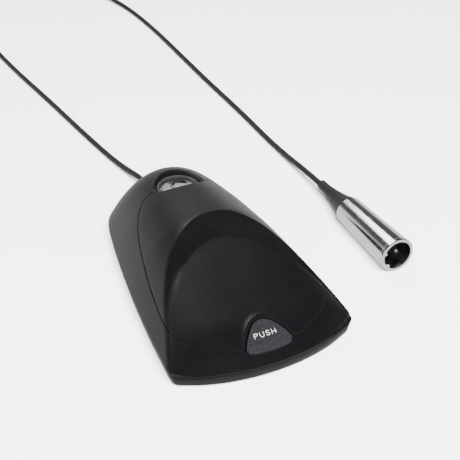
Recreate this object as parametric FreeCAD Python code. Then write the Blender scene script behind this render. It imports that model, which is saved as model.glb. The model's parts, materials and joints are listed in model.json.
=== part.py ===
import FreeCAD, Part

import math
import os

from FreeCAD import Placement, Rotation, Vector

# Desktop base for a gooseneck microphone, with its cable and 3-pin plug.
# Frame: +X right, +Y rear (cable side), +Z up.  The origin is on the table,
# under the middle of the base.  All sizes are millimetres.

# ---------------------------------------------------------------- sizes
BASE_WIDTH = 96.4         # across the front corners
FRONT_BULGE = 15.6        # how far the front edge bows out past its corners
SIDE_LENGTH = 143.0       # front corners to the rear end
TOP_RISE = 36.0           # height of the dome above the parting line
FLOOR_GAP = 1.0           # feet lift the pan by this much
PAN_TOP = 7.0             # top edge of the pan
PARTING_Z = 7.6           # lower edge of the housing
EDGE_BAND = 1.2           # upright band above that edge
WALL = 2.2                # moulded wall thickness
FIT_GAP = 0.2             # gap between fixed neighbours
BUTTON_GAP = 0.35         # gap round the push button
SOCKET_Y = 105.0          # socket axis, measured from the front corners
COLLAR_TOP = 32.6         # rim of the metal socket collar
COLLAR_R = 10.0
COLLAR_BORE_R = 8.6
CONNECTOR_R = 6.0         # bore that takes the gooseneck connector
CONNECTOR_FLOOR = 20.0
CORD_D = 3.5              # jacket of the cable
LEAD_Z = 8.0              # height of the cable where it leaves the base
PLUG_RIM_R = 9.9          # front rim of the plug shell
PLUG_REAR_R = 8.1         # rear of the plug shell
PLUG_SHELL_L = 51.0
PLUG_BOOT_L = 31.0
PLUG_AT = Vector(94.3, -34.7, 9.95)   # middle of the plug's front rim
PLUG_YAW = -0.1           # the plug's rear lies this far round towards +X
PLUG_PITCH = 2.0          # and is tipped down by this much, as a cone lies
COIL_AT = Vector(14.8, 477.3, 0)      # middle of the put-away coil
COIL_R = 21.0             # mean radius of its turns
COIL_LAYERS = 4
COIL_TURNS = 16.5

SHIFT_Y = (FRONT_BULGE - SIDE_LENGTH) / 2   # brings the outline to the origin
HALF = BASE_WIDTH / 2
REAR_START = 95.0         # where the sides begin to close into the rear
REAR_POWER = 6.0
SIDE_POWER = 2.05


# ---------------------------------------------------------------- outline
def half_width(y):
    """Half the plan width at the parting line, before the rear closes."""
    return HALF - 0.008 * y - 0.0007 * y * y


def front_edge(x):
    """Y of the bowed front edge at x."""
    s = min(1.0, abs(x) / HALF)
    return -FRONT_BULGE * (1 - 0.626 * s ** 2 - 0.159 * s ** 4)


def half_outline():
    """Plan points from the middle of the front to the middle of the rear."""
    points = [(HALF * 0.95 * i / 12, front_edge(HALF * 0.95 * i / 12)) for i in range(13)]
    start, corner, end = points[-1], (HALF - 0.3, -3.4), (half_width(1.5), 1.5)
    for t in (0.25, 0.5, 0.75, 1.0):
        points.append(tuple((1 - t) ** 2 * start[k] + 2 * t * (1 - t) * corner[k] + t * t * end[k]
                            for k in (0, 1)))
    points += [(half_width(y), y) for y in range(8, int(REAR_START), 9)]
    for v in (0.0, 0.2, 0.4, 0.55, 0.67, 0.76, 0.83, 0.885, 0.925, 0.955, 0.978, 0.992, 1.0):
        y = REAR_START + (SIDE_LENGTH - REAR_START) * v
        points.append((half_width(y) * (1 - v ** REAR_POWER) ** (1 / SIDE_POWER), y))
    return points


def outline_points(inset):
    """Closed plan outline moved inwards by inset, in the part's frame, without the points that fold back."""
    half = half_outline()
    ring = half + [(-x, y) for x, y in reversed(half[1:-1])]
    along = [Vector(ring[(i + 1) % len(ring)][0] - ring[i - 1][0],
                    ring[(i + 1) % len(ring)][1] - ring[i - 1][1], 0)
             for i in range(len(ring))]
    moved = [Vector(x - inset * way.y / way.Length, y + inset * way.x / way.Length + SHIFT_Y, 0)
             for (x, y), way in zip(ring, along)]
    return [p for i, (p, way) in enumerate(zip(moved, along))
            if (moved[(i + 1) % len(moved)] - moved[i - 1]).dot(way) > 0.35 * way.Length ** 2]


def outline_wire(inset, z):
    """The moved outline as one smooth closed wire at height z."""
    curve = Part.BSplineCurve()
    curve.interpolate(Points=[p + Vector(0, 0, z) for p in outline_points(inset)], PeriodicFlag=True)
    return Part.Wire(curve.toShape())


def prism(wire, z0, z1):
    """A flat closed wire swept up from z0 to z1."""
    flat = wire.copy()
    flat.translate(Vector(0, 0, z0 - wire.BoundBox.ZMin))
    return Part.Face(flat).extrude(Vector(0, 0, z1 - z0))


def outline_prism(inset, z0, z1):
    return prism(outline_wire(inset, z0), z0, z1)


# ---------------------------------------------------------------- surfaces
def dome_height(x, y, inset=0.0):
    """Height of the outer dome; y is measured from the front corners."""
    width = half_width(y) - inset
    u = abs(x) / max(width, 1.0)
    v = max(0.0, y - REAR_START) / (SIDE_LENGTH - REAR_START - inset)
    front = max(0.0, 10.0 - y) / (10.4 - front_edge(x) - inset)
    radius = (u ** SIDE_POWER + v ** REAR_POWER + front ** 12) ** (1 / SIDE_POWER)
    t = min(1.0, max(0.0, (y - 88.0) / 34.0))
    power = 2.41 - 0.295 * t * t * (3 - 2 * t)
    rise = TOP_RISE - 0.12 * max(0.0, y - 62.0) - inset
    foot = PARTING_Z + EDGE_BAND
    if radius > 1:
        return foot - 18.0 * math.tanh((radius - 1) * rise * power / 18.0)
    return foot + (rise - EDGE_BAND) * (1 - radius ** power)


def panel_height(x, y):
    """Height of the sloping front panel."""
    edge = front_edge(x)
    side_drop = 1.8e-6 * x ** 4
    at_edge = 33.2 - 0.26 * (54.5 - edge) - side_drop
    return 33.2 - 0.26 * (54.5 - y) - side_drop - (at_edge - 8.4) * max(0.0, 1 - (y - edge) / 22.0) ** 2


def arch_y(x):
    """Plan line of the arch where the panel meets the cove."""
    return 54.3 - 0.0235 * x ** 2 - 0.7e-9 * x ** 6


def cove_width(x):
    """Distance in y from the arch to the ridge."""
    return 8.4 + 3.4 * math.exp(-((abs(x) - 29.0) / 10.0) ** 2)


def cove_height(x, y):
    """Height of the hollow cove between the arch and the ridge."""
    width = cove_width(x)
    q = (y - arch_y(x)) / width
    q = 1.5 + math.tanh(q - 1.5) if q > 1.5 else -0.5 + math.tanh(q + 0.5) if q < -0.5 else q
    ridge_y = arch_y(x) + width
    ridge = max(0.6, dome_height(x, ridge_y) - panel_height(x, ridge_y))
    dip = 0.35 + 1.1 * math.exp(-((abs(x) - 27.0) / 9.0) ** 2)
    return panel_height(x, y) + ridge * q - 4 * dip * q * (1 - q)


def height_face(height, steps_x, steps_y, x_max=57.0, y0=-22.0, y1=152.0):
    """A smooth face through height(x, y) over the whole base."""
    rows = []
    for i in range(steps_x + 1):
        x = -x_max + 2 * x_max * i / steps_x
        column = []
        for j in range(steps_y + 1):
            y = y0 + (y1 - y0) * j / steps_y
            column.append(Vector(x, y + SHIFT_Y, height(x, y)))
        rows.append(column)
    surface = Part.BSplineSurface()
    surface.interpolate(rows)
    return surface.toShape()


def scoop_face():
    """The panel and the cove as one face, its rows following the arch line."""
    before = [0.0, 0.1, 0.2, 0.3, 0.4, 0.5, 0.6, 0.7, 0.79, 0.86, 0.91, 0.945, 0.97, 0.988, 1.0]
    across = [0.06, 0.14, 0.24, 0.36, 0.5, 0.64, 0.78, 0.9, 1.0, 1.12, 1.25, 1.4]
    rows = []
    for i in range(45):
        x = -57.0 + 114.0 * i / 44
        arch, width = arch_y(x), cove_width(x)
        front = min(-24.0, arch - 25.0)
        row = [(front + (arch - front) * t, panel_height) for t in before]
        row += [(arch + width * t, cove_height) for t in across]
        rows.append([Vector(x, y + SHIFT_Y, height(x, y)) for y, height in row])
    surface = Part.BSplineSurface()
    surface.interpolate(rows)
    return surface.toShape()


def under_skin(inset, z0=0.0):
    """The solid under the outer skin moved in by inset, above z0."""
    dome = height_face(lambda x, y: dome_height(x, y, inset), 34, 48).extrude(Vector(0, 0, -90))
    scoop = SCOOP_FACE.extrude(Vector(0, 0, 150))
    scoop.translate(Vector(0, 0, -1.07 * inset))
    return outline_prism(inset, z0, 70.0).common(dome).cut(scoop)


# ---------------------------------------------------------------- plan curves
SEAM_SIDE = [(16.2, 103.6), (20.4, 102.4), (24.2, 98.6), (28.2, 91.4), (31.2, 83.0), (34.0, 72.0),
             (36.6, 59.0), (38.9, 45.0), (40.6, 31.0), (41.4, 20.5), (40.5, 12.6), (36.5, 5.0),
             (29.0, -1.4), (22.3, -4.9), (14.8, -7.6)]
LIP = [(-11.5, 99.4), (-6.0, 97.8), (0.0, 97.3), (6.0, 97.8), (11.5, 99.4)]


def spline(points, z=0.0):
    curve = Part.BSplineCurve()
    curve.interpolate([Vector(x, y + SHIFT_Y, z) for x, y in points])
    return curve.toShape()


def notch_half(grow):
    """Right half of the rounded triangle round the push button."""
    return [(12.3 + grow, -7.8), (10.5 + grow, -4.9), (8.2 + grow, -1.9),
            (5.7 + 0.8 * grow, 1.0 + 0.5 * grow), (2.7 + 0.4 * grow, 2.9 + 0.9 * grow), (0.0, 3.6 + grow)]


def mirrored(half):
    """A half curve that ends on the middle, with its mirror image added."""
    return half + [(-x, y) for x, y in reversed(half[:-1])]


def cover_wire(grow):
    """Plan outline of the front cover, grown outwards by grow."""
    side = []
    for i, (x, y) in enumerate(SEAM_SIDE):
        ax, ay = SEAM_SIDE[max(0, i - 1)]
        bx, by = SEAM_SIDE[min(len(SEAM_SIDE) - 1, i + 1)]
        length = math.hypot(bx - ax, by - ay)
        side.append((x - grow * (by - ay) / length, y + grow * (bx - ax) / length))
    lip = [(x, y + grow) for x, y in LIP]
    top_right, bottom_right = side[0], side[-1]
    edges = [spline([(-x, y) for x, y in side]), spline([(-top_right[0], top_right[1])] + lip + [top_right]),
             spline(side), spline(mirrored(notch_half(-grow)))]
    foot = notch_half(-grow)[0]
    for sign in (1, -1):
        edges.append(Part.makeLine(Vector(sign * bottom_right[0], bottom_right[1] + SHIFT_Y, 0),
                                   Vector(sign * foot[0], foot[1] + SHIFT_Y, 0)))
    return Part.Wire(Part.__sortEdges__(edges))


def button_wire(gap):
    """Plan outline of the push button."""
    half = notch_half(-gap)
    curve = spline(mirrored(half))
    foot = half[0]
    right = [foot, (11.7 - gap, -9.0 + 0.6 * gap), (9.8 - 0.5 * gap, -10.1 + gap), (5.0, -10.75 + gap)]
    base = mirrored(right + [(0.0, -10.95 + gap)])
    return Part.Wire(Part.__sortEdges__([curve, spline(base)]))


# ---------------------------------------------------------------- helpers
def at(x, y, z=0.0):
    """A point given from the front corners, in the part's frame."""
    return Vector(x, y + SHIFT_Y, z)


def rod(x, y, z0, z1, radius):
    return Part.makeCylinder(radius, z1 - z0, at(x, y, z0))


def ring(x, y, z0, z1, outer, inner):
    return rod(x, y, z0, z1, outer).cut(rod(x, y, z0 - 1, z1 + 1, inner))


def box(x0, x1, y0, y1, z0, z1):
    return Part.makeBox(x1 - x0, y1 - y0, z1 - z0, at(x0, y0, z0))


def fused(shapes):
    body = shapes[0].multiFuse(shapes[1:]) if len(shapes) > 1 else shapes[0]
    return body.removeSplitter()


def save(name, shape):
    """Check a node's solids and write its STEP file."""
    solids = shape.Solids
    whole = solids[0] if len(solids) == 1 else Part.makeCompound(solids)
    volume = sum(s.Volume for s in solids)
    state = "ok" if whole.isValid() and min(s.Volume for s in solids) > 0 else "INVALID"
    print(f"{name:18s} solids {len(solids):2d} volume {volume:10.1f} {state}")
    whole.exportStep(f"parts/{name}.step")
    return whole


os.makedirs("parts", exist_ok=True)
SCOOP_FACE = scoop_face()


# ---------------------------------------------------------------- shells
PAN_SCREWS = [(41.0, 14.0), (-41.0, 14.0), (26.0, 112.0), (-26.0, 112.0)]
COVER_SCREWS = [(29.0, 70.0), (-29.0, 70.0), (30.0, 10.0), (-30.0, 10.0)]
BOARD_SCREWS = [(20.0, 6.0), (-20.0, 6.0), (20.0, 44.0), (-20.0, 44.0)]
PLATE_SCREWS = [(18.0, 62.0), (-18.0, 62.0), (0.0, 96.0)]
PAN_FLOOR = FLOOR_GAP + 2.0
BOSS_TOP = 9.4
BOARD_Z = 4.0
BOARD_T = 1.6


def base_pan():
    """Shallow moulded tray that closes the base from below."""
    top, bottom = outline_wire(0.5, PAN_TOP), outline_wire(1.8, FLOOR_GAP)
    tray = Part.makeLoft([bottom, top], True, True)
    tray = tray.cut(outline_prism(4.0, PAN_FLOOR, PAN_TOP + 1))
    tongue = outline_prism(WALL + 0.2, PAN_FLOOR, 9.0).cut(outline_prism(4.0, PAN_FLOOR, 10.0))
    tongue = tongue.cut(box(-60, 60, -20, 16, PAN_TOP, 10.0))
    bosses = [rod(x, y, PAN_FLOOR, BOSS_TOP, 4.0) for x, y in PAN_SCREWS]
    bosses += [rod(x, y, PAN_FLOOR, BOARD_Z, 3.0) for x, y in BOARD_SCREWS]
    tray = fused([tray, tongue] + bosses)
    for x, y in PAN_SCREWS:
        tray = tray.cut(rod(x, y, 0, 12, 1.7)).cut(rod(x, y, 0, 4.4, 3.2))
    for x, y in BOARD_SCREWS:
        tray = tray.cut(rod(x, y, 2.6, 9, 0.9))
    for x, y in PLATE_SCREWS:
        tray = tray.cut(rod(x, y, 1.4, 9, 1.1))
    for x, y in FEET:
        tray = tray.cut(rod(x, y, 0, FLOOR_GAP + 0.6, 6.1))
    return tray.cut(rod_y(0.0, 130.0, 150.0, LEAD_Z, GLAND_HOLE_R))


FEET = [(36.5, 4.0), (-36.5, 4.0), (23.0, 123.0), (-23.0, 123.0)]


def rod_y(x, y0, y1, z, radius):
    """A round bar along Y."""
    return Part.makeCylinder(radius, y1 - y0, at(x, y0, z), Vector(0, 1, 0))


def socket_dish():
    """Shallow dished recess round the socket."""
    edge = dome_height(0.0, SOCKET_Y)
    return Part.makeCone(12.2, 17.6, 7.0, at(0, SOCKET_Y, edge - 4.2), Vector(0, 0, 1))


def outer_height(x, y):
    """Outer skin height at a point."""
    front = panel_height if y < arch_y(x) else cove_height
    return min(dome_height(x, y), front(x, y))


def upper_housing():
    """Outer shell: rear, both sides and the low front band, with the socket well."""
    hole = prism(cover_wire(FIT_GAP / 2), 0, 70)
    shell = OUTER.cut(INNER).cut(hole).cut(prism(button_wire(-0.05), 0, 70))
    rim = prism(cover_wire(FIT_GAP / 2), 0, 70).cut(prism(cover_wire(-3.2), -1, 71))
    ledge = INNER.cut(under_skin(WALL + 1.6)).common(rim).cut(box(-19, 19, -30, 18, -1, 60))
    ledge = ledge.cut(box(-60, 60, -30, 40, -1, PARTING_Z + 0.4))
    well = rod(0, SOCKET_Y, 17.0, 60.0, 14.6).common(ROOM).cut(hole)
    bosses = [rod(x, y, BOSS_TOP + 0.1, 60, 4.0).common(BOSS_ROOM) for x, y in PAN_SCREWS]
    body = fused([shell, ledge, well] + bosses)
    body = body.cut(socket_dish()).cut(rod(0, SOCKET_Y, 31.0, 60, 12.0))
    body = body.cut(rod(0, SOCKET_Y, 5, 60, COLLAR_R + 0.05))
    for x, y in PAN_SCREWS:
        body = body.cut(rod(x, y, 5, BOSS_TOP + 5.0, 1.2))
    return body.cut(rod_y(0.0, 125.0, 150.0, LEAD_Z, GLAND_HOLE_R))


def front_cover():
    """Egg-shaped cover with the ridge, the cove and the button notch."""
    shell = OUTER.cut(INNER).common(prism(cover_wire(-FIT_GAP / 2), 0, 70))
    posts = [rod(x, y, outer_height(x, y) - 8.0, 60, 2.6).common(ROOM) for x, y in COVER_SCREWS]
    body = fused([shell] + posts)
    for x, y in COVER_SCREWS:
        body = body.cut(rod(x, y, 0, outer_height(x, y) - 4.0, 0.95))
    return body.cut(rod(0, SOCKET_Y, 5, 34.4, 14.8))


def push_button():
    """Rounded-triangle cap with a skirt and a stem over the switch."""
    top = SCOOP_FACE.copy()
    top.translate(Vector(0, 0, 0.25))
    cap = top.extrude(Vector(0, 0, -2.6)).common(prism(button_wire(BUTTON_GAP), 0, 40))
    hollow_face = SCOOP_FACE.copy()
    hollow_face.translate(Vector(0, 0, -1.6))
    hollow = hollow_face.extrude(Vector(0, 0, -20)).common(prism(button_wire(BUTTON_GAP + 1.3), 0, 40))
    stem = rod(0, SWITCH_Y, PLUNGER_TOP + 0.05, panel_height(0, SWITCH_Y) - 0.6, 2.0)
    return fused([cap.cut(hollow), stem])


# ---------------------------------------------------------------- inside
SWITCH_Y = -2.5
SWITCH_H = 3.4
PLUNGER_TOP = BOARD_Z + BOARD_T + SWITCH_H + 0.9
GLAND_R = 4.6
GLAND_HOLE_R = 3.4
BALLAST_T = 4.0


def ballast_plate():
    """Steel plate that keeps the base on the table."""
    plate = outline_prism(7.0, PAN_FLOOR, PAN_FLOOR + BALLAST_T).common(box(-60, 60, 52, 128, 0, 20))
    for x, y in PLATE_SCREWS:
        plate = plate.cut(rod(x, y, 0, 20, 1.5))
    for x, y in PAN_SCREWS:
        plate = plate.cut(rod(x, y, 0, 20, 4.6))
    return plate.cut(box(-8, 8, 112, 140, 0, 20))


def circuit_board():
    """Board under the cover, with the button switch at its front end."""
    board = box(-26, 26, -6.5, 48, BOARD_Z, BOARD_Z + BOARD_T)
    board = board.cut(rod(26, 48, 0, 20, 5)).cut(rod(-26, 48, 0, 20, 5))
    for x, y in BOARD_SCREWS:
        board = board.cut(rod(x, y, 0, 20, 1.3))
    return board


def board_parts():
    """Transformer block, capacitors and the cable header on the board."""
    z = BOARD_Z + BOARD_T
    shapes = [box(-9, 9, 24, 38, z, z + 9), box(-16, -12.5, 12, 20, z, z + 1.6),
              box(12, 20, 14, 22, z, z + 1.4)]
    shapes += [rod(x, 30, z, z + 7, 2.6) for x in (-17.0, 17.0)]
    shapes.append(box(-6, 6, 41, 45, z, z + 5))
    return Part.makeCompound(shapes)


def screws(places, z_head, head_r, head_h, shank_r, shank_l, up=True):
    """Pan-head screws pointing up (or down), with a cross recess."""
    sign = 1 if up else -1
    group = []
    for x, y in places:
        base = at(x, y, z_head)
        head = Part.makeCylinder(head_r, head_h, base, Vector(0, 0, sign))
        shank = Part.makeCylinder(shank_r, shank_l + head_h, base, Vector(0, 0, sign))
        body = head.fuse(shank)
        for turn in (0, 90):
            slot = Part.makeBox(head_r * 1.2, 0.5, head_h * 0.6, Vector(-head_r * 0.6, -0.25, 0))
            slot.rotate(Vector(0, 0, 0), Vector(0, 0, 1), turn)
            slot.translate(base if up else base - Vector(0, 0, head_h * 0.6))
            body = body.cut(slot)
        group.append(body.removeSplitter())
    return Part.makeCompound(group)


def cover_screws():
    """Screws that hold the cover's posts, one washer face under each post."""
    group = []
    for x, y in COVER_SCREWS:
        low = outer_height(x, y) - 8.05
        group.append(rod(x, y, low - 1.4, low, 2.4).fuse(rod(x, y, low, low + 3.6, 0.9)).removeSplitter())
    return Part.makeCompound(group)


# ---------------------------------------------------------------- socket
def socket_bezel():
    """Dark seating ring round the metal collar."""
    body = ring(0, SOCKET_Y, 31.05, COLLAR_TOP + 1.6, 11.9, COLLAR_R + 0.05)
    return body.makeChamfer(0.6, [e for e in body.Edges if abs(e.BoundBox.ZMin - COLLAR_TOP - 1.6) < 0.01
                                  and abs(e.BoundBox.ZMax - COLLAR_TOP - 1.6) < 0.01])


def socket_collar():
    """Plated collar with a key rib that the gooseneck drops into."""
    tube = ring(0, SOCKET_Y, 14.0, COLLAR_TOP, COLLAR_R, COLLAR_BORE_R)
    rib = box(-0.9, 0.9, SOCKET_Y + COLLAR_BORE_R - 0.9, SOCKET_Y + COLLAR_BORE_R + 0.4, 24.0, COLLAR_TOP - 0.6)
    return fused([tube, rib])


def socket_insert():
    """Insulating insert with the connector bore."""
    body = rod(0, SOCKET_Y, 14.0, 29.0, COLLAR_BORE_R - 0.05)
    body = body.cut(rod(0, SOCKET_Y, CONNECTOR_FLOOR, 40, CONNECTOR_R))
    body = body.cut(box(-1.1, 1.1, SOCKET_Y + COLLAR_BORE_R - 1.2, SOCKET_Y + 12, 23.8, 40))
    for x, y in contact_places():
        body = body.cut(rod(x, y, 10, 21, 0.7))
    return body


def contact_places():
    return [(3.2 * math.cos(math.radians(90 + 120 * i)), SOCKET_Y + 3.2 * math.sin(math.radians(90 + 120 * i)))
            for i in range(3)]


def socket_contacts():
    return Part.makeCompound([rod(x, y, 11.0, CONNECTOR_FLOOR - 0.3, 0.7) for x, y in contact_places()])


def socket_nut():
    """Hexagonal nut that clamps the collar under the well."""
    corners = [at(14.0 * math.cos(math.radians(60 * i)), SOCKET_Y + 14.0 * math.sin(math.radians(60 * i)), 14.0)
               for i in range(7)]
    nut = Part.Face(Part.makePolygon(corners)).extrude(Vector(0, 0, 2.9))
    return nut.cut(rod(0, SOCKET_Y, 10, 20, COLLAR_R))


def wires():
    """Two insulated leads from the socket and the cable to the board."""
    group = []
    z = BOARD_Z + BOARD_T + 2.6
    paths = [[at(-3, SOCKET_Y - 1.2, 10.0), at(-3, 88, 9.5), at(-3, 60, 11), at(-3, 45.3, z)],
             [at(1.0, 117.0, LEAD_Z + 0.6), at(8.0, 108, 9.6), at(13.5, 88, 10.4),
              at(3.0, 60, 11.0), at(3.0, 45.3, z)]]
    for path in paths:
        curve = Part.BSplineCurve()
        curve.interpolate(path)
        spine = Part.Wire(curve.toShape())
        start = curve.tangent(curve.FirstParameter)[0]
        section = Part.Wire(Part.makeCircle(0.8, path[0], start))
        group.append(spine.makePipeShell([section], True, False))
    return Part.makeCompound(group)


# ---------------------------------------------------------------- cable
LEAD_START = 118.0
GLAND_OUT = SIDE_LENGTH + 6.0


def cable_gland():
    """Rubber strain relief through the rear wall, split along the parting line by its groove."""
    sleeve = rod_y(0.0, SIDE_LENGTH - 12.0, SIDE_LENGTH - 4.6, LEAD_Z, GLAND_R)
    neck = rod_y(0.0, SIDE_LENGTH - 5.0, SIDE_LENGTH + 0.4, LEAD_Z, GLAND_HOLE_R - 0.05)
    tail = Part.makeCone(3.9, 2.6, GLAND_OUT - SIDE_LENGTH - 0.4,
                         at(0, SIDE_LENGTH + 0.4, LEAD_Z), Vector(0, 1, 0))
    body = fused([sleeve, neck, tail])
    return body.cut(rod_y(0.0, LEAD_START, GLAND_OUT + 1, LEAD_Z, CORD_D / 2))


def cable_clamp():
    """Saddle that holds the cable to two bosses of the pan."""
    body = box(-7.5, 7.5, 120, 125, PAN_FLOOR + 0.1, LEAD_Z + 3.4)
    return body.cut(rod_y(0.0, 110, 130, LEAD_Z, CORD_D / 2))


def route_solid(points, diameter):
    """A round tube along straight runs joined by tangent arcs; prints each arc's radius."""
    edges, start = [], points[0]
    radii = []
    for before, corner, after in zip(points, points[1:], points[2:]):
        a, b = (before - corner), (after - corner)
        half = (math.pi - a.getAngle(b)) / 2
        radius = 0.45 * min(a.Length, b.Length) / math.tan(half)
        cut = radius * math.tan(half)
        first, last = corner + a.normalize() * cut, corner + b.normalize() * cut
        bisector = (a + b).normalize()
        middle = corner + bisector * (radius / math.cos(half) - radius)
        edges += [Part.makeLine(start, first), Part.Arc(first, middle, last).toShape()]
        radii.append(round(radius, 1))
        start = last
    edges.append(Part.makeLine(start, points[-1]))
    wire = Part.Wire(edges)
    section = Part.Wire(Part.makeCircle(diameter / 2, points[0], points[1] - points[0]))
    tube = wire.makePipeShell([section], True, False)
    expected = math.pi * diameter ** 2 / 4 * wire.Length
    print("cord run radii", radii, "length", round(wire.Length),
          "volume ratio", round(tube.Volume / expected, 4))
    return tube


def on_plug(shape):
    """Moves a shape from the plug's own axis (rim at 0, body along +Y) to its place."""
    turn = Rotation(Vector(0, 0, 1), -PLUG_YAW).multiply(Rotation(Vector(1, 0, 0), -PLUG_PITCH))
    moved = shape.copy()
    moved.Placement = Placement(PLUG_AT, turn).multiply(shape.Placement)
    return moved


def plug_point(distance):
    """A point on the plug's axis, behind its front rim."""
    turn = Rotation(Vector(0, 0, 1), -PLUG_YAW).multiply(Rotation(Vector(1, 0, 0), -PLUG_PITCH))
    return PLUG_AT + turn.multVec(Vector(0, distance, 0))


def turned(profile):
    """Solid of revolution about +Y from (radius, distance) points."""
    corners = [Vector(r, y, 0) for r, y in profile]
    face = Part.Face(Part.makePolygon(corners + corners[:1]))
    return face.revolve(Vector(0, 0, 0), Vector(0, 1, 0), 360)


PIN_ANGLES = (90, 212, -32)


def pin_place(angle):
    return Vector(4.0 * math.cos(math.radians(angle)), 0, 4.0 * math.sin(math.radians(angle)))


def plug_shell():
    length = PLUG_SHELL_L
    body = turned([(8.15, 0), (PLUG_RIM_R - 0.3, 0), (PLUG_RIM_R, 0.4), (PLUG_RIM_R, 1.8),
                   (PLUG_RIM_R - 0.2, 2.2),
                   (PLUG_REAR_R, length - 0.8), (PLUG_REAR_R - 0.6, length), (6.2, length), (6.2, 25.0),
                   (8.15, 25.0)])
    key = Part.makeCylinder(1.5, 16.0,
                            Vector(8.2 * math.cos(math.radians(229)), 0, 8.2 * math.sin(math.radians(229))),
                            Vector(0, 1, 0))
    hole = Part.makeCylinder(1.25, 6.0, Vector(0, 41.0, 4.0), Vector(0, 0, 1))
    hole.rotate(Vector(0, 0, 0), Vector(0, 1, 0), 40)
    return body.cut(hole).fuse(key.common(
        turned([(6.9, 0.6), (8.3, 0.6), (8.3, 15.5), (6.9, 15.5)]))).removeSplitter()


def plug_insert():
    body = turned([(0, 15.6), (8.1, 15.6), (8.1, 24.9), (0, 24.9)])
    for angle in PIN_ANGLES:
        body = body.cut(Part.makeCylinder(1.2, 30, pin_place(angle) + Vector(0, 5, 0), Vector(0, 1, 0)))
    return body


def plug_pins():
    pins = []
    for angle in PIN_ANGLES:
        pin = turned([(0, 5.2), (0.7, 5.2), (1.19, 6.1), (1.19, 27.5), (0, 27.5)])
        pin.translate(pin_place(angle))
        pins.append(pin)
    return Part.makeCompound(pins)


def plug_clamp():
    """Split chuck that grips the cable inside the shell."""
    body = turned([(CORD_D / 2, 30.0), (6.15, 30.0), (6.15, 43.0), (CORD_D / 2, 43.0)])
    return body.cut(Part.makeBox(8, 14, 0.8, Vector(0, 29.5, -0.4)))


def plug_boot():
    """Rubber boot that flares into the rear of the shell."""
    rear, end = PLUG_SHELL_L + 0.05, PLUG_SHELL_L + PLUG_BOOT_L
    flare = [(7.6 - 4.7 * (1 - (1 - t) ** 2.0), rear + (end - rear) * t) for t in (0, 0.12, 0.28, 0.5, 0.75, 1.0)]
    return turned([(CORD_D / 2, 43.1), (6.15, 43.1), (6.15, rear)] + flare + [(CORD_D / 2, end)])


def plug_screw():
    body = Part.makeCylinder(1.2, 2.1, Vector(0, 41.0, 6.2), Vector(0, 0, 1))
    body = body.cut(Part.makeBox(2.4, 0.4, 0.6, Vector(-1.2, 40.8, 7.8)))
    body.rotate(Vector(0, 0, 0), Vector(0, 1, 0), 40)
    return body


def cord_coil():
    """Outer shape of the put-away coil: a flat ring round its turns."""
    spread = COIL_TURNS / COIL_LAYERS * CORD_D / 2
    outer, inner = COIL_R + spread + CORD_D / 2, COIL_R - spread - CORD_D / 2
    height = COIL_LAYERS * CORD_D
    body = Part.makeCylinder(outer, height, COIL_AT).cut(Part.makeCylinder(inner, height, COIL_AT))
    round_edges = [e for e in body.Edges if abs(e.BoundBox.ZMin - e.BoundBox.ZMax) < 0.01]
    return body.makeFillet(CORD_D / 2 - 0.05, round_edges)


REST_Z = CORD_D / 2       # height of a cable's middle when it lies on the table
COIL_SIDE = COIL_R + COIL_TURNS / COIL_LAYERS * CORD_D / 2

# Lead: straight out of the gland, down to the table, then back to the coil's left side.
LEAD_ROUTE = [at(0, LEAD_START, LEAD_Z), Vector(0, 90, LEAD_Z), Vector(-7.3, 127.6, REST_Z),
              Vector(-15.8, 176.4, REST_Z), Vector(-24.4, 232.1, REST_Z), Vector(-34.6, 289.9, REST_Z),
              Vector(-42.1, 347.7, REST_Z), Vector(-39.1, 399.8, REST_Z), Vector(-23.2, 440.3, REST_Z),
              Vector(COIL_AT.x - COIL_SIDE, COIL_AT.y - 6, REST_Z)]

# Tail: from the plug's clamp down to the table and back to the coil's right side.
TAIL_ROUTE = [plug_point(43.0), plug_point(90.0), Vector(93.4, 104.4, REST_Z), Vector(93.1, 159.4, REST_Z),
              Vector(90.7, 215.4, REST_Z), Vector(89.8, 271.3, REST_Z), Vector(88.4, 328.3, REST_Z),
              Vector(83.5, 381.2, REST_Z), Vector(66.2, 426.7, 5.5),
              Vector(COIL_AT.x + COIL_SIDE, COIL_AT.y - 6, (COIL_LAYERS - 0.5) * CORD_D)]


# ---------------------------------------------------------------- assembly
os.makedirs("parts", exist_ok=True)
SCOOP_FACE = scoop_face()
OUTER = under_skin(0.0, PARTING_Z)
INNER = under_skin(WALL)
ROOM = under_skin(WALL - 0.4)
BOSS_ROOM = under_skin(WALL + 0.3)

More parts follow.
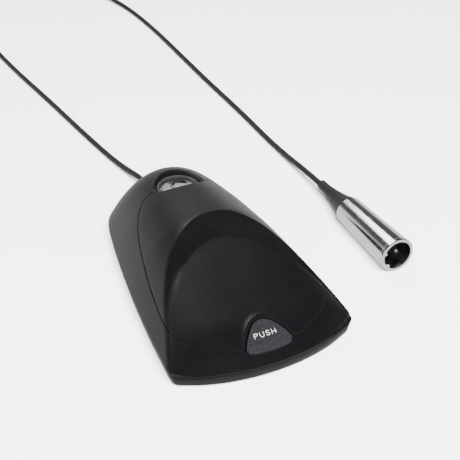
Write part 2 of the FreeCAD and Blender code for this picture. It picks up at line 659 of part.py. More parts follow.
NODES = {
    "base_pan": base_pan,
    "upper_housing": upper_housing,
    "front_cover": front_cover,
    "push_button": push_button,
    "switch_body": lambda: box(-3, 3, SWITCH_Y - 3, SWITCH_Y + 3, BOARD_Z + BOARD_T,
                               BOARD_Z + BOARD_T + SWITCH_H).cut(rod(0, SWITCH_Y, PLUNGER_TOP - 3.4, 30, 1.85)),
    "switch_plunger": lambda: rod(0, SWITCH_Y, PLUNGER_TOP - 2.4, PLUNGER_TOP, 1.8),
    "circuit_board": circuit_board,
    "board_parts": board_parts,
    "ballast_plate": ballast_plate,
    "rubber_feet": lambda: Part.makeCompound([rod(x, y, 0, FLOOR_GAP + 0.6, 6.0) for x, y in FEET]),
    "housing_screws": lambda: screws(PAN_SCREWS, 2.6, 2.6, 1.8, 1.2, 8.0),
    "board_screws": lambda: screws(BOARD_SCREWS, BOARD_Z + BOARD_T + 1.3, 2.0, 1.3, 0.9, 2.6, up=False),
    "ballast_screws": lambda: screws(PLATE_SCREWS, PAN_FLOOR + BALLAST_T + 1.6, 2.6, 1.6, 1.1, 5.0, up=False),
    "cover_screws": cover_screws,
    "socket_bezel": socket_bezel,
    "socket_collar": socket_collar,
    "socket_insert": socket_insert,
    "socket_contacts": socket_contacts,
    "socket_nut": socket_nut,
    "inner_wires": wires,
    "cable_gland": cable_gland,
    "cable_clamp": cable_clamp,
    "cord_lead": lambda: route_solid(LEAD_ROUTE, CORD_D),
    "cord_coil": cord_coil,
    "cord_tail": lambda: route_solid(TAIL_ROUTE, CORD_D),
    "plug_shell": lambda: on_plug(plug_shell()),
    "plug_insert": lambda: on_plug(plug_insert()),
    "plug_pins": lambda: on_plug(plug_pins()),
    "plug_clamp": lambda: on_plug(plug_clamp()),
    "plug_boot": lambda: on_plug(plug_boot()),
    "plug_screw": lambda: on_plug(plug_screw()),
}
for node, make in NODES.items():
    save(node, make())
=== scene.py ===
"""Desktop base for a gooseneck microphone, with its attached cable and 3-pin plug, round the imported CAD."""
import json
import math

import bmesh
import bpy
import numpy as np
from mathutils import Matrix, Vector
from mathutils.geometry import delaunay_2d_cdt


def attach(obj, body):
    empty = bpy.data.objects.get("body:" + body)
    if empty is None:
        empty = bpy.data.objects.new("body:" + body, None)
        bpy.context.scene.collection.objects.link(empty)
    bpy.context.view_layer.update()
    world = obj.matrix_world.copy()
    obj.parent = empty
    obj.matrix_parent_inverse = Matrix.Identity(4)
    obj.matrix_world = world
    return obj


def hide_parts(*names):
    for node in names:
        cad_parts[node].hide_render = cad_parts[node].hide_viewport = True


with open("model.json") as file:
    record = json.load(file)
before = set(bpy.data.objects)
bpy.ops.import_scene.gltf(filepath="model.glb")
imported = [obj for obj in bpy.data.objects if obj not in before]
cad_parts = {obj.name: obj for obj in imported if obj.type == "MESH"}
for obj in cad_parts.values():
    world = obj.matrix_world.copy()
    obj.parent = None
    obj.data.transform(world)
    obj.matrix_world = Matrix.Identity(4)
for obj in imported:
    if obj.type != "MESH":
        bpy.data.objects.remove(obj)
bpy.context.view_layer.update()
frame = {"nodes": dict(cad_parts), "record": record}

NODES = frame["nodes"]
MM = 0.001

# ---------------------------------------------------------------- the base's own sizes, in mm
# Plan positions run from the line between the front corners, SHIFT_Y brings them to the frame.
BASE_WIDTH, FRONT_BULGE, SIDE_LENGTH = 96.4, 15.6, 143.0
HALF = BASE_WIDTH / 2
SHIFT_Y = (FRONT_BULGE - SIDE_LENGTH) / 2
TOP_RISE, FOOT, PARTING_Z = 36.0, 8.8, 7.6
REAR_START, REAR_POWER, SIDE_POWER = 95.0, 6.0, 2.05
SOCKET_Y, WELL_R = 105.0, 12.0
CORD_D, LEAD_Z = 3.5, 8.0
BUTTON_GAP, BUTTON_PROUD = 0.35, 0.25
COVER_GAP = 0.11                # the seam is twice this wide
SEAM_SIDE = [(16.2, 103.6), (20.4, 102.4), (24.2, 98.6), (28.2, 91.4), (31.2, 83.0), (34.0, 72.0),
             (36.6, 59.0), (38.9, 45.0), (40.6, 31.0), (41.4, 20.5), (40.5, 12.6), (36.5, 5.0),
             (29.0, -1.4), (22.3, -4.9), (14.8, -7.6)]
LIP = [(-16.2, 103.6), (-11.5, 99.4), (-6.0, 97.8), (0.0, 97.3), (6.0, 97.8), (11.5, 99.4), (16.2, 103.6)]


# ---------------------------------------------------------------- camera
camera_data = bpy.data.cameras.new("camera")
camera_data.lens = 70.0
camera_data.sensor_width = 36.0
camera_data.clip_start = 0.01
camera = bpy.data.objects.new("camera", camera_data)
camera.location = (-0.1436, -0.3435, 0.2972)
camera.rotation_euler = (math.radians(54.5), 0.0, math.radians(-24.4))
bpy.context.scene.collection.objects.link(camera)
bpy.context.scene.camera = camera


# ---------------------------------------------------------------- helpers
def new_object(name, data, body, replaced=(), material=None):
    piece = bpy.data.objects.new(name, data)
    bpy.context.scene.collection.objects.link(piece)
    if material:
        data.materials.append(material)
    if body:
        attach(piece, body)
    if replaced:
        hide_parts(*replaced)
    return piece


def mesh_object(name, verts, faces, body, slot=None, replaced=(), material=None):
    """A smooth-shaded mesh piece from points in mm."""
    mesh = bpy.data.meshes.new(name)
    mesh.from_pydata([(x * MM, y * MM, z * MM) for x, y, z in verts], [], faces)
    mesh.update()
    work = bmesh.new()
    work.from_mesh(mesh)
    bmesh.ops.recalc_face_normals(work, faces=work.faces)
    work.to_mesh(mesh)
    work.free()
    mesh.polygons.foreach_set("use_smooth", [True] * len(mesh.polygons))
    return new_object(name, mesh, body, replaced, material)


# ---------------------------------------------------------------- materials
def material(name, color, rough, metal=0.0, grain=2600.0, bump=0.25, depth=0.00003, mottle=0.15,
             mottle_scale=90.0, specular=0.5):
    """A moulded, plated or painted surface: fine grain in the bump, cloudy colour, uneven gloss."""
    rough_var = 0.06
    made = bpy.data.materials.new(name)
    made.use_nodes = True
    tree = made.node_tree
    shader = tree.nodes["Principled BSDF"]
    shader.inputs["Metallic"].default_value = metal
    shader.inputs["Specular IOR Level"].default_value = specular
    place = tree.nodes.new("ShaderNodeTexCoord")

    def noise(scale, detail=3.0):
        node = tree.nodes.new("ShaderNodeTexNoise")
        node.inputs["Scale"].default_value = scale
        node.inputs["Detail"].default_value = detail
        tree.links.new(place.outputs["Object"], node.inputs["Vector"])
        return node

    cloud, fine, haze = noise(mottle_scale), noise(grain, 2.0), noise(mottle_scale * 4)
    mix = tree.nodes.new("ShaderNodeMix")
    mix.data_type = "RGBA"
    dark = tuple(c * (1 - mottle) for c in color)
    light = tuple(min(1.0, c * (1 + mottle)) for c in color)
    mix.inputs["A"].default_value = (*dark, 1)
    mix.inputs["B"].default_value = (*light, 1)
    spread = tree.nodes.new("ShaderNodeMapRange")
    spread.inputs["From Min"].default_value = 0.3
    spread.inputs["From Max"].default_value = 0.7
    tree.links.new(cloud.outputs["Fac"], spread.inputs["Value"])
    tree.links.new(spread.outputs["Result"], mix.inputs["Factor"])
    tree.links.new(mix.outputs["Result"], shader.inputs["Base Color"])
    gloss = tree.nodes.new("ShaderNodeMapRange")
    gloss.inputs["To Min"].default_value = max(0.02, rough - rough_var)
    gloss.inputs["To Max"].default_value = min(1.0, rough + rough_var)
    tree.links.new(haze.outputs["Fac"], gloss.inputs["Value"])
    tree.links.new(gloss.outputs["Result"], shader.inputs["Roughness"])
    relief = tree.nodes.new("ShaderNodeBump")
    relief.inputs["Strength"].default_value = bump
    relief.inputs["Distance"].default_value = depth
    tree.links.new(fine.outputs["Fac"], relief.inputs["Height"])
    tree.links.new(relief.outputs["Normal"], shader.inputs["Normal"])
    return made


BLACK = material("black_shell", (0.0020, 0.0019, 0.0023), 0.4, bump=0.4, specular=0.25)
PAN_BLACK = material("black_pan", (0.0032, 0.0031, 0.0034), 0.44, bump=0.35, specular=0.14)
BUTTON = material("button_grey", (0.0085, 0.0085, 0.0095), 0.62, specular=0.25, grain=1300.0, bump=1.0,
                  depth=0.00012, mottle=0.3, mottle_scale=900.0)
RUBBER = material("black_rubber", (0.0035, 0.0035, 0.0037), 0.5, grain=1800.0, bump=0.2, specular=0.3)
JACKET = material("cable_jacket", (0.0035, 0.0035, 0.004), 0.48, grain=1500.0, bump=0.25, specular=0.25)
NICKEL = material("nickel", (0.70, 0.685, 0.66), 0.15, metal=1.0, grain=3200.0, bump=0.2, mottle=0.06)
STEEL = material("steel", (0.5, 0.5, 0.51), 0.32, metal=1.0, bump=0.2, mottle=0.08)
SILVER = material("silver_pin", (0.82, 0.82, 0.81), 0.16, metal=1.0, grain=2500.0, bump=0.1, mottle=0.05)
GREY_PLASTIC = material("grey_insulator", (0.12, 0.12, 0.122), 0.5, bump=0.2, specular=0.3)
BLACK_PLASTIC = material("black_insulator", (0.012, 0.012, 0.012), 0.35, bump=0.15)
BOARD = material("board_green", (0.01, 0.09, 0.035), 0.35, mottle=0.2, mottle_scale=300.0)
COMPONENT = material("component_dark", (0.03, 0.03, 0.03), 0.45)
WIRE = material("wire_red", (0.35, 0.02, 0.015), 0.4)
BRASS = material("brass", (0.7, 0.48, 0.18), 0.28, metal=1.0, mottle=0.08)
PRINT = material("print_white", (0.6, 0.6, 0.595), 0.55, bump=0.15, mottle=0.05)
FLOOR = material("floor", (0.93, 0.93, 0.93), 0.8, grain=900.0, bump=0.05, mottle=0.01, mottle_scale=6.0)

BY_SLOT = {"black_shell": BLACK, "black_pan": PAN_BLACK, "button_grey": BUTTON, "black_rubber": RUBBER,
           "cable_jacket": JACKET, "nickel": NICKEL, "steel": STEEL, "silver_pin": SILVER,
           "grey_insulator": GREY_PLASTIC, "black_insulator": BLACK_PLASTIC, "board_green": BOARD,
           "component_dark": COMPONENT, "wire_red": WIRE, "brass": BRASS}
for entry in frame["record"]["subparts"]:
    for spot in NODES[entry["node"]].material_slots:
        spot.material = BY_SLOT[entry["material_slot"]]


# ---------------------------------------------------------------- shape of the skin
def half_width(y):
    return HALF - 0.008 * y - 0.0007 * y * y


def front_edge(x):
    s = np.minimum(1.0, np.abs(x) / HALF)
    return -FRONT_BULGE * (1 - 0.626 * s ** 2 - 0.159 * s ** 4)


def dome(x, y):
    """Height of the outer dome."""
    u = np.abs(x) / half_width(y)
    v = np.maximum(0.0, y - REAR_START) / (SIDE_LENGTH - REAR_START)
    front = np.maximum(0.0, 10.0 - y) / (10.4 - front_edge(x))
    radius = (u ** SIDE_POWER + v ** REAR_POWER + front ** 12) ** (1 / SIDE_POWER)
    t = np.clip((y - 88.0) / 34.0, 0, 1)
    power = 2.41 - 0.295 * t * t * (3 - 2 * t)
    rise = TOP_RISE - 0.12 * np.maximum(0.0, y - 62.0)
    outside = FOOT - 18.0 * np.tanh((radius - 1) * rise * power / 18.0)
    return np.where(radius > 1, outside, FOOT + (rise - 1.2) * (1 - np.minimum(radius, 1) ** power))


def panel(x, y):
    edge = front_edge(x)
    side_drop = 1.8e-6 * x ** 4
    at_edge = 33.2 - 0.26 * (54.5 - edge) - side_drop
    turn_down = np.maximum(0.0, 1 - (y - edge) / 22.0) ** 2
    return 33.2 - 0.26 * (54.5 - y) - side_drop - (at_edge - 8.4) * turn_down


def arch_y(x):
    return 54.3 - 0.0235 * x ** 2 - 0.7e-9 * x ** 6


def cove_width(x):
    return 8.4 + 3.4 * np.exp(-((np.abs(x) - 29.0) / 10.0) ** 2)


def cove(x, y):
    width = cove_width(x)
    q = (y - arch_y(x)) / width
    q = np.where(q > 1.5, 1.5 + np.tanh(q - 1.5), np.where(q < -0.5, -0.5 + np.tanh(q + 0.5), q))
    ridge_y = arch_y(x) + width
    ridge = np.maximum(0.6, dome(x, ridge_y) - panel(x, ridge_y))
    dip = 0.35 + 1.1 * np.exp(-((np.abs(x) - 27.0) / 9.0) ** 2)
    return panel(x, y) + ridge * q - 4 * dip * q * (1 - q)


def scoop(x, y):
    return np.where(y < arch_y(x), panel(x, y), cove(x, y))


def soft_min(a, b, k):
    h = np.maximum(k - np.abs(a - b), 0.0) / k
    return np.minimum(a, b) - h * h * k / 4


def skin(x, y):
    """Outer height of the base, its ridge a little rounded."""
    return np.maximum(soft_min(dome(x, y), scoop(x, y), 1.3), PARTING_Z + 0.5)


def housing_skin(x, y):
    """The same with the shallow dish round the socket."""
    from_socket = np.hypot(x, y - SOCKET_Y)
    edge = float(dome(np.array(0.0), np.array(SOCKET_Y)))
    dish = edge - 4.2 + (from_socket - 12.2) * 7.0 / 5.4
    return soft_min(skin(x, y), dish, 0.7)


# ---------------------------------------------------------------- plan curves
def spline(points, step, closed=False):
    """Points about step apart along the cubic spline through points."""
    pts = np.array(points, float)
    overlap = 5
    if closed:
        pts = np.vstack([pts[-overlap:], pts, pts[:overlap + 1]])
    t = np.concatenate([[0], np.cumsum(np.linalg.norm(np.diff(pts, axis=0), axis=1))])
    h = np.diff(t)
    count = len(t)
    system = np.zeros((count, count))
    right = np.zeros((count, 2))
    system[0, 0] = system[-1, -1] = 1
    for i in range(1, count - 1):
        system[i, i - 1:i + 2] = h[i - 1], 2 * (h[i - 1] + h[i]), h[i]
        right[i] = 6 * ((pts[i + 1] - pts[i]) / h[i] - (pts[i] - pts[i - 1]) / h[i - 1])
    bend = np.linalg.solve(system, right)
    low, high = (t[overlap], t[-overlap - 1]) if closed else (t[0], t[-1])
    at = np.linspace(low, high, max(3, int(round((high - low) / step)) + 1))
    i = np.clip(np.searchsorted(t, at, side="right") - 1, 0, count - 2)
    a, b, w = (t[i + 1] - at)[:, None], (at - t[i])[:, None], h[i][:, None]
    out = (bend[i] * a ** 3 + bend[i + 1] * b ** 3) / (6 * w) \
        + (pts[i] / w - bend[i] * w / 6) * a + (pts[i + 1] / w - bend[i + 1] * w / 6) * b
    return out[:-1] if closed else out


def outline():
    """Plan outline of the housing, closed, from the middle of the front towards +X."""
    half = [(HALF * 0.95 * i / 12, front_edge(HALF * 0.95 * i / 12)) for i in range(13)]
    start, corner, end = half[-1], (HALF - 0.3, -3.4), (half_width(1.5), 1.5)
    for t in (0.25, 0.5, 0.75, 1.0):
        half.append(tuple((1 - t) ** 2 * a + 2 * t * (1 - t) * b + t * t * c
                          for a, b, c in zip(start, corner, end)))
    half += [(half_width(y), y) for y in range(8, int(REAR_START), 9)]
    for v in (0.0, 0.2, 0.4, 0.55, 0.67, 0.76, 0.83, 0.885, 0.925, 0.955, 0.978, 0.992, 1.0):
        y = REAR_START + (SIDE_LENGTH - REAR_START) * v
        half.append((half_width(y) * (1 - v ** REAR_POWER) ** (1 / SIDE_POWER), y))
    whole = half + [(-x, y) for x, y in reversed(half[1:-1])]
    return spline(whole, 0.9, closed=True)


def notch_half(grow):
    return [(12.3 + grow, -7.8), (10.5 + grow, -4.9), (8.2 + grow, -1.9),
            (5.7 + 0.8 * grow, 1.0 + 0.5 * grow), (2.7 + 0.4 * grow, 2.9 + 0.9 * grow), (0.0, 3.6 + grow)]


def both_sides(half):
    return half + [(-x, y) for x, y in reversed(half[:-1])]


def grown_side(grow):
    side = []
    for i, (x, y) in enumerate(SEAM_SIDE):
        ax, ay = SEAM_SIDE[max(0, i - 1)]
        bx, by = SEAM_SIDE[min(len(SEAM_SIDE) - 1, i + 1)]
        length = math.hypot(bx - ax, by - ay)
        side.append((x - grow * (by - ay) / length, y + grow * (bx - ax) / length))
    return side


def straight(a, b, step):
    count = max(1, int(round(math.dist(a, b) / step)))
    return np.array([np.array(a) + (np.array(b) - np.array(a)) * i / count for i in range(count + 1)])


def joined(parts):
    """One closed loop of the parts, each starting where the last one ended."""
    out = []
    for part in parts:
        for p in part:
            if not out or math.dist(out[-1], p) > 0.12:
                out.append(tuple(p))
    if math.dist(out[0], out[-1]) < 0.12:
        out.pop()
    return np.array(out)


def flipped(points):
    return np.array([(-x, y) for x, y in points])[::-1]


def cover_loop(grow, step=0.7):
    side = spline(grown_side(grow), step)                      # top right to bottom right
    lip = spline([(x, y + grow) for x, y in LIP], step)        # left to right
    lip[0], lip[-1] = (-side[0][0], side[0][1]), side[0]
    notch = spline(both_sides(notch_half(-grow)), step)        # right to left
    foot = straight(side[-1], notch[0], step)
    return joined([lip, side, foot, notch, flipped(foot), flipped(side)]), notch


def button_base(gap):
    return both_sides([(12.3 - gap, -7.8), (11.7 - gap, -9.0 + 0.6 * gap), (9.8 - 0.5 * gap, -10.1 + gap),
                       (5.0, -10.75 + gap), (0.0, -10.95 + gap)])


def button_loop(gap, step=0.6):
    notch = spline(both_sides(notch_half(-gap)), step)
    base = spline(button_base(gap), step)
    return joined([base, notch[::-1]])


def housing_hole(step=0.7):
    """Inner edge of the housing: round the cover, the button's foot and the rear of the socket."""
    side = spline(grown_side(COVER_GAP), step)
    lip = spline([(x, y + COVER_GAP) for x, y in LIP], step)
    lip[0], lip[-1] = (-side[0][0], side[0][1]), side[0]
    well = np.array([(WELL_R * math.cos(a), SOCKET_Y + WELL_R * math.sin(a))
                     for a in np.linspace(math.radians(-40), math.radians(220), 110)])
    out_of_well = lip[np.hypot(lip[:, 0], lip[:, 1] - SOCKET_Y) > WELL_R + 0.15]
    left, right = out_of_well[out_of_well[:, 0] < 0], out_of_well[out_of_well[:, 0] > 0]
    lip_at = np.interp(well[:, 0], lip[:, 0], lip[:, 1])
    behind = well[well[:, 1] > lip_at + 0.1][::-1]
    base = spline(button_base(-0.05), step)
    foot = straight(side[-1], base[0], step)
    return joined([left, behind, right, side, foot, base, flipped(foot), flipped(side)])


# ---------------------------------------------------------------- skins
def distance_to(points, loop, closed=True):
    """Distance from each point to a polyline."""
    a, b = (loop, np.roll(loop, -1, axis=0)) if closed else (loop[:-1], loop[1:])
    best = np.full(len(points), 1e9)
    for i in range(0, len(points), 2000):
        p = points[i:i + 2000, None, :]
        edge = b - a
        t = np.clip(((p - a) * edge).sum(2) / np.maximum((edge ** 2).sum(1), 1e-12), 0, 1)
        gap = p - (a + t[..., None] * edge)
        best[i:i + 2000] = np.sqrt((gap ** 2).sum(2)).min(1)
    return best


def inside(points, loop):
    a, b = loop, np.roll(loop, -1, axis=0)
    result = np.zeros(len(points), bool)
    for i in range(0, len(points), 2000):
        x, y = points[i:i + 2000, 0, None], points[i:i + 2000, 1, None]
        crosses = (a[:, 1] > y) != (b[:, 1] > y)
        rise = np.where(b[:, 1] == a[:, 1], 1e-12, b[:, 1] - a[:, 1])
        reach = (b[:, 0] - a[:, 0]) * (y - a[:, 1]) / rise + a[:, 0]
        result[i:i + 2000] = (crosses & (x < reach)).sum(1) % 2 == 1
    return result


def normals(loop):
    """Plan normals of a closed loop, to its left."""
    along = np.roll(loop, -1, axis=0) - np.roll(loop, 1, axis=0)
    along /= np.linalg.norm(along, axis=1)[:, None]
    return np.stack([-along[:, 1], along[:, 0]], 1)


def area(loop):
    nxt = np.roll(loop, -1, axis=0)
    return 0.5 * (loop[:, 0] * nxt[:, 1] - nxt[:, 0] * loop[:, 1]).sum()


def shell(name, height, edges, step, lines, thickness, **look):
    """A moulded wall over a region of the plan.

    edges: dicts with loop, rings (distances from the edge that get their own rows of points), radius of
    the rounded edge and walls, the (inset, drop or (z,)) rows that lead down to the inner side. The first
    edge is the outer one. lines are extra rows of points along creases."""
    for i, edge in enumerate(edges):
        loop = edge["loop"]
        if (area(loop) > 0) != (i == 0):
            loop = loop[::-1]
        edge["loop"], edge["normal"] = loop, normals(loop)
    plan, rows = [], []
    for edge in edges:
        rows.append((len(plan), len(edge["loop"])))
        plan += list(map(tuple, edge["loop"]))
    taken = set()

    def cell(p, size):
        return int(math.floor(p[0] / size)), int(math.floor(p[1] / size))

    def gap_to_edges(points):
        return np.min([distance_to(points, edge["loop"]) for edge in edges], axis=0)

    def in_region(points):
        keep = inside(points, edges[0]["loop"])
        for edge in edges[1:]:
            keep &= ~inside(points, edge["loop"])
        return keep

    for edge in edges:
        for d in edge["rings"]:
            ring = edge["loop"] + edge["normal"] * d
            every = max(1, int(round(min(d, step) * 0.55 / 0.7)))
            ring = ring[::every]
            keep = in_region(ring) & (gap_to_edges(ring) > 0.93 * d)
            plan += list(map(tuple, ring[keep]))
    for line in lines:
        keep = in_region(line) & (gap_to_edges(line) > 0.5)
        for p in line[keep]:
            key = cell(p, 0.25)
            if key not in taken:
                taken.add(key)
                plan.append(tuple(p))
    near_lines = np.array([p for line in lines for p in line]) if lines else np.zeros((0, 2))
    low, high = edges[0]["loop"].min(0), edges[0]["loop"].max(0)
    grid = []
    row = 0
    y = low[1]
    while y < high[1]:
        x = low[0] + (0.5 * step if row % 2 else 0.0)
        while x < high[0]:
            grid.append((x, y))
            x += step
        y += step * 0.87
        row += 1
    grid = np.array(grid)
    keep = in_region(grid)
    grid = grid[keep]
    # the grid stays clear of the rows along the edges and creases
    clear = np.min([distance_to(grid, e["loop"]) - e["rings"][-1] for e in edges], axis=0) > 0.5 * step
    grid = grid[clear]
    if len(near_lines):
        blocked = {cell(p, step * 0.6) for p in near_lines}
        grid = np.array([p for p in grid if cell(p, step * 0.6) not in blocked])
    plan += list(map(tuple, grid))
    constraint = []
    for first, count in rows:
        constraint += [(first + i, first + (i + 1) % count) for i in range(count)]
    verts2, _, faces, originals, _, _ = delaunay_2d_cdt([Vector(p) for p in plan], constraint, [], 0, 1e-5)
    points = np.array([(v.x, v.y) for v in verts2])
    triangles = np.array([list(f) for f in faces if len(f) == 3])
    middle = points[triangles].mean(1)
    triangles = triangles[in_region(middle)]
    new_index = {}
    for i, origins in enumerate(originals):
        for o in origins:
            new_index[o] = i
    x, y = points[:, 0], points[:, 1]
    z = height(x, y)
    for edge in edges:
        if edge["radius"] > 0:
            d = np.clip(distance_to(points, edge["loop"]), 0, edge["radius"])
            z = z - (edge["radius"] - np.sqrt(np.maximum(edge["radius"] ** 2 - (edge["radius"] - d) ** 2, 0)))
    count = len(points)
    verts = [(a, b + SHIFT_Y, c) for a, b, c in zip(x, y, z)]
    under = [(a, b + SHIFT_Y, c - thickness) for a, b, c in zip(x, y, z)]
    faces = [tuple(t) for t in triangles]
    faces += [(t[2] + count, t[1] + count, t[0] + count) for t in triangles]
    verts += under
    for edge, (first, size) in zip(edges, rows):
        top = [new_index[first + i] for i in range(size)]
        last = top
        for k, (inset, drop) in enumerate(edge["walls"]):
            place = edge["loop"] + edge["normal"] * inset
            level = [drop[0] if isinstance(drop, tuple) else z[t] - drop for t in top]
            if k == len(edge["walls"]) - 1:
                row_index = [t + count for t in top]
                for index, p, h in zip(row_index, place, level):
                    verts[index] = (p[0], p[1] + SHIFT_Y, h)
            else:
                row_index = list(range(len(verts), len(verts) + size))
                verts += [(p[0], p[1] + SHIFT_Y, h) for p, h in zip(place, level)]
            for i in range(size):
                j = (i + 1) % size
                faces.append((last[j], last[i], row_index[i], row_index[j]))
            last = row_index
    used = sorted({i for f in faces for i in f})
    place_of = {old: new for new, old in enumerate(used)}
    return mesh_object(name, [verts[i] for i in used], [tuple(place_of[i] for i in f) for f in faces], **look)


# Rows of points along the creases.
def crease_lines():
    lines = []
    xs = np.arange(-45.0, 45.01, 0.6)
    for d in (-0.8, -0.3, -0.06, 0.06, 0.35, 0.9):
        lines.append(np.stack([xs, arch_y(xs) + d], 1))
    # the ridge, found outwards from the middle of the panel
    centre = np.array([0.0, 22.0])
    ridge = []
    for a in np.arange(-20.0, 200.01, 0.5):
        way = np.array([math.cos(math.radians(a)), math.sin(math.radians(a))])
        reach = np.arange(10.0, 80.0, 0.1)
        line = centre + reach[:, None] * way
        gap = dome(line[:, 0], line[:, 1]) - scoop(line[:, 0], line[:, 1])
        change = np.nonzero((gap[:-1] > 0) & (gap[1:] <= 0))[0]
        if len(change):
            ridge.append((way, reach[change[0]]))
    for d in (-1.6, -1.0, -0.5, 0.0, 0.5, 1.0, 1.6):
        lines.append(np.array([centre + (r + d) * way for way, r in ridge]))
    return lines


CREASES = crease_lines()
FINE_RINGS = (0.05, 0.14, 0.3, 0.55, 0.95)
HOUSING_RINGS = (0.5, 1.0, 1.6, 2.3, 3.1, 4.1, 5.3, 6.7)
# rows round the rim of the dish at the socket
DISH_ROWS = [np.array([(r * math.cos(a), SOCKET_Y + r * math.sin(a)) for a in np.linspace(0, math.pi, 90)])
             for r in (14.6, 15.0, 15.3, 15.6, 16.0, 16.5)]
SKIN_T = 2.2
outer_loop = outline()
hole = housing_hole()
shell("upper_shell", housing_skin,
      [dict(loop=outer_loop, rings=HOUSING_RINGS, radius=0.0,
            walls=[(0.0, (PARTING_Z + 0.42,)), (0.12, (PARTING_Z + 0.15,)), (0.42, (PARTING_Z,)),
                   (1.9, (PARTING_Z,))]),
       dict(loop=hole, rings=FINE_RINGS, radius=0.42, walls=[(0.0, 1.0), (0.0, SKIN_T)])],
      1.5, CREASES + DISH_ROWS, SKIN_T,
      body="base", slot="black_shell", replaced=("upper_housing",), material=BLACK)

cover_edge, notch_edge = cover_loop(-COVER_GAP)


def cover_skin(x, y):
    """The cover's height with the rolled lip round the notch."""
    crest_at, crest_spread, crest_height = 1.3, 0.85, 0.75
    roll_r, roll_share = 1.2, 1.1
    from_notch = distance_to(np.stack([x, y], 1), notch_edge, closed=False)
    lip = crest_height * np.exp(-((from_notch - crest_at) / crest_spread) ** 2)
    near = np.clip(from_notch, 0, roll_r)
    rounded = roll_r - np.sqrt(np.maximum(roll_r ** 2 - (roll_r - near) ** 2, 0))
    return skin(x, y) + lip - roll_share * rounded


shell("scooped_cover", cover_skin,
      [dict(loop=cover_edge, rings=FINE_RINGS + (1.35, 1.8, 2.4), radius=0.42,
            walls=[(0.0, 1.2), (0.0, SKIN_T)])],
      1.4, CREASES, SKIN_T, body="base", slot="black_shell", replaced=("front_cover",), material=BLACK)

shell("button_cap", lambda x, y: scoop(x, y) + BUTTON_PROUD,
      [dict(loop=button_loop(BUTTON_GAP), rings=(0.06, 0.18, 0.38, 0.65), radius=0.5,
            walls=[(0.0, 1.2), (0.0, 2.4)])],
      1.0, [], 2.4, body="button", slot="button_grey", replaced=("push_button",), material=BUTTON)

# ---------------------------------------------------------------- pan
def inset_loop(loop, inset):
    """The outline moved inwards, its folded points pulled together."""
    moved = loop + normals(loop) * inset
    along = np.roll(loop, -1, axis=0) - np.roll(loop, 1, axis=0)
    span = np.roll(moved, -1, axis=0) - np.roll(moved, 1, axis=0)
    keep = (span * along).sum(1) > 0.3 * (along ** 2).sum(1)
    where = np.arange(len(loop))
    return np.stack([np.interp(where, where[keep], moved[keep, k]) for k in (0, 1)], 1)


# (inset, height) of each row, up the outer side, over the tongue and down the inner side
PAN_ROWS = [(2.3, 1.0), (1.75, 1.12), (1.45, 1.5), (1.05, 4.0), (0.6, 6.5), (0.68, 6.85), (0.95, 7.0),
            (2.4, 7.0), (2.4, 8.9), (4.0, 8.9), (4.0, 3.0)]
pan_verts, pan_faces = [], []
pan_outline = outer_loop if area(outer_loop) > 0 else outer_loop[::-1]
size = len(pan_outline)
for inset, z in PAN_ROWS:
    pan_verts += [(x, y + SHIFT_Y, z) for x, y in inset_loop(pan_outline, inset)]
for row in range(len(PAN_ROWS) - 1):
    for i in range(size):
        j = (i + 1) % size
        pan_faces.append((row * size + i, row * size + j, (row + 1) * size + j, (row + 1) * size + i))
pan_faces.append(tuple(range(size))[::-1])
pan_faces.append(tuple((len(PAN_ROWS) - 1) * size + i for i in range(size)))
mesh_object("lower_tray", pan_verts, pan_faces, "base", "black_pan", ("base_pan",), PAN_BLACK)

# ---------------------------------------------------------------- label
LETTERS = [[[(0, 0), (0, 1), (0.62, 1), (0.86, 0.88), (0.86, 0.65), (0.62, 0.52), (0, 0.52)]],
           [[(0, 1), (0, 0.3), (0.18, 0.05), (0.45, 0), (0.72, 0.05), (0.9, 0.3), (0.9, 1)]],
           [[(0.86, 0.82), (0.65, 0.98), (0.25, 0.98), (0.05, 0.82), (0.1, 0.62), (0.8, 0.4), (0.88, 0.2),
             (0.65, 0.02), (0.25, 0.02), (0.02, 0.18)]],
           [[(0, 0), (0, 1)], [(0.9, 0), (0.9, 1)], [(0, 0.5), (0.9, 0.5)]]]
LETTER_SIZE, LETTER_PITCH, LABEL_AT = (2.15, 2.1), 3.0, (-6.1, -4.9)
STROKE_R, STROKE_SUNK = 0.11, 0.05
# the strokes lie on the button's top, sunk a little into it
label_curve = bpy.data.curves.new("push_label", "CURVE")
label_curve.dimensions = "3D"
label_curve.bevel_depth = STROKE_R * MM
label_curve.bevel_resolution = 1
label_curve.use_fill_caps = True
for number, strokes in enumerate(LETTERS):
    for stroke in strokes:
        pen = label_curve.splines.new("POLY")
        pen.points.add(len(stroke) - 1)
        for point, (u, v) in zip(pen.points, stroke):
            x = LABEL_AT[0] + LETTER_PITCH * number + LETTER_SIZE[0] * u
            y = LABEL_AT[1] + LETTER_SIZE[1] * v
            z = float(scoop(np.array(x), np.array(y))) + BUTTON_PROUD - STROKE_SUNK
            point.co = (x * MM, (y + SHIFT_Y) * MM, z * MM, 1)
new_object("push_label", label_curve, "button", (), PRINT)

# ---------------------------------------------------------------- floor and light
# The floor and the strong front light stay out of the reflections: the black skin would mirror them.
HALF_FLOOR, FLOOR_Z = 3.0, -0.0003
floor_mesh = bpy.data.meshes.new("floor")
floor_corners = [(-1, -1), (1, -1), (1, 1), (-1, 1)]
floor_mesh.from_pydata([(HALF_FLOOR * a, HALF_FLOOR * b, FLOOR_Z) for a, b in floor_corners], [],
                       [(0, 1, 2, 3)])
floor = new_object("floor", floor_mesh, None, material=FLOOR)
floor.visible_glossy = False

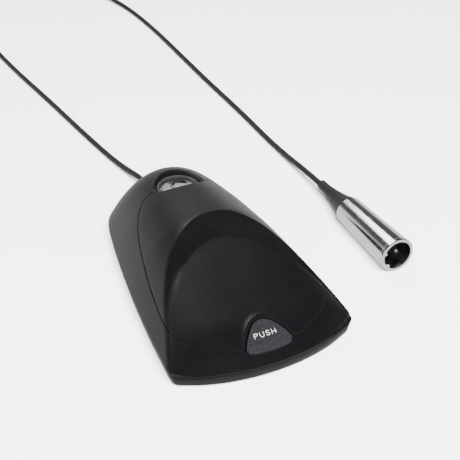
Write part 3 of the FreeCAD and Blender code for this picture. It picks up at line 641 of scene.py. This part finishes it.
# a sky that is bright at the horizon and dark overhead; the first pair are sines of the elevation
BRIGHT_BELOW, DARK_ABOVE = 0.04, 0.34
BRIGHT_SKY, DARK_SKY = 1.5, 0.1
world = bpy.data.worlds.new("studio")
world.use_nodes = True
sky = world.node_tree
toward = sky.nodes.new("ShaderNodeTexCoord")
parts = sky.nodes.new("ShaderNodeSeparateXYZ")
fade = sky.nodes.new("ShaderNodeMapRange")
fade.interpolation_type = "SMOOTHSTEP"
fade.inputs["From Min"].default_value, fade.inputs["From Max"].default_value = BRIGHT_BELOW, DARK_ABOVE
fade.inputs["To Min"].default_value, fade.inputs["To Max"].default_value = BRIGHT_SKY, DARK_SKY
sky.links.new(toward.outputs["Generated"], parts.inputs["Vector"])
sky.links.new(parts.outputs["Z"], fade.inputs["Value"])
sky.links.new(fade.outputs["Result"], sky.nodes["Background"].inputs["Strength"])
sky.nodes["Background"].inputs["Color"].default_value = (1.0, 1.0, 1.0, 1)
bpy.context.scene.world = world


def soft_light(name, place, target, size, watts, glossy=True):
    data = bpy.data.lights.new(name, "AREA")
    data.shape = "RECTANGLE"
    data.size, data.size_y = size
    data.energy = watts
    lamp = bpy.data.objects.new(name, data)
    lamp.location = place
    lamp.rotation_euler = (Vector(target) - Vector(place)).to_track_quat("-Z", "Y").to_euler()
    lamp.visible_glossy = glossy
    bpy.context.scene.collection.objects.link(lamp)


soft_light("left_softbox", (-0.75, 0.35, 0.45), (0, 0, 0.02), (0.5, 0.5), 1.6)
soft_light("front_softbox", (-0.2, -1.1, 1.5), (0, 0.1, 0), (1.2, 0.8), 270.0, glossy=False)
soft_light("top_softbox", (0.0, 0.8, 1.0), (0, 0, 0), (0.7, 0.5), 9.0)

# ---------------------------------------------------------------- cable
REST_Z = CORD_D / 2
COIL_AT = (14.8, 477.3)
COIL_R, COIL_LAYERS, COIL_TURNS, PER_TURN = 21.0, 4, 16.5, 20
SWEEP = COIL_TURNS / COIL_LAYERS * CORD_D / 2
PLUG_AT = Vector((94.3, -34.7, 9.95))
PLUG_TURN = Matrix.Rotation(math.radians(0.1), 3, "Z") @ Matrix.Rotation(math.radians(-2.0), 3, "X")


def plug_point(distance):
    return PLUG_AT + PLUG_TURN @ Vector((0, distance, 0))


def coil_points():
    """Turns of the put-away coil, layer on layer, wound clockwise from its left side."""
    points = []
    total = int(COIL_TURNS * PER_TURN)
    per_layer = COIL_TURNS / COIL_LAYERS
    for i in range(total + 1):
        turn = i / PER_TURN
        layer = min(COIL_LAYERS - 1, int(turn / per_layer))
        through = turn / per_layer - layer
        radius = COIL_R + SWEEP * (1 - 2 * through) * (1 if layer % 2 == 0 else -1)
        z = REST_Z + CORD_D * layer
        to_edge = (through - (1 if through > 0.5 else 0)) * per_layer
        if abs(to_edge) < 0.125 and 0 < layer + round(through) < COIL_LAYERS:
            base = REST_Z + CORD_D * (layer + round(through) - 0.5)
            z = base + CORD_D * 0.5 * math.sin(to_edge / 0.125 * math.pi / 2)
        a = math.pi - 2 * math.pi * turn
        points.append((COIL_AT[0] + radius * math.cos(a), COIL_AT[1] + radius * math.sin(a), z))
    return points


LEAD_ROUTE = [(0, 118.0 + SHIFT_Y, LEAD_Z), (0, 90, LEAD_Z), (-7.3, 127.6, REST_Z), (-15.8, 176.4, REST_Z),
              (-24.4, 232.1, REST_Z), (-34.6, 289.9, REST_Z), (-42.1, 347.7, REST_Z), (-39.1, 399.8, REST_Z),
              (-23.2, 440.3, REST_Z), (COIL_AT[0] - COIL_R - SWEEP, COIL_AT[1] - 6, REST_Z)]
TAIL_ROUTE = [tuple(plug_point(43.0)), tuple(plug_point(90.0)), (93.4, 104.4, REST_Z), (93.1, 159.4, REST_Z),
              (90.7, 215.4, REST_Z), (89.8, 271.3, REST_Z), (88.4, 328.3, REST_Z), (83.5, 381.2, REST_Z),
              (66.2, 426.7, 5.5),
              (COIL_AT[0] + COIL_R + SWEEP, COIL_AT[1] - 6, REST_Z + (COIL_LAYERS - 1) * CORD_D)]
route = LEAD_ROUTE + coil_points() + TAIL_ROUTE[::-1]
cable_data = bpy.data.curves.new("cable", "CURVE")
cable_data.dimensions = "3D"
cable_data.bevel_depth = CORD_D / 2 * MM
cable_data.bevel_resolution = 5
cable_data.resolution_u = 6
cable_data.use_fill_caps = True
line = cable_data.splines.new("NURBS")
line.points.add(len(route) - 1)
for point, (x, y, z) in zip(line.points, route):
    point.co = (x * MM, y * MM, z * MM, 1)
line.order_u = 3
line.use_endpoint_u = True
cable = new_object("cable", cable_data, "base", ("cord_lead", "cord_coil", "cord_tail"),
                   JACKET)
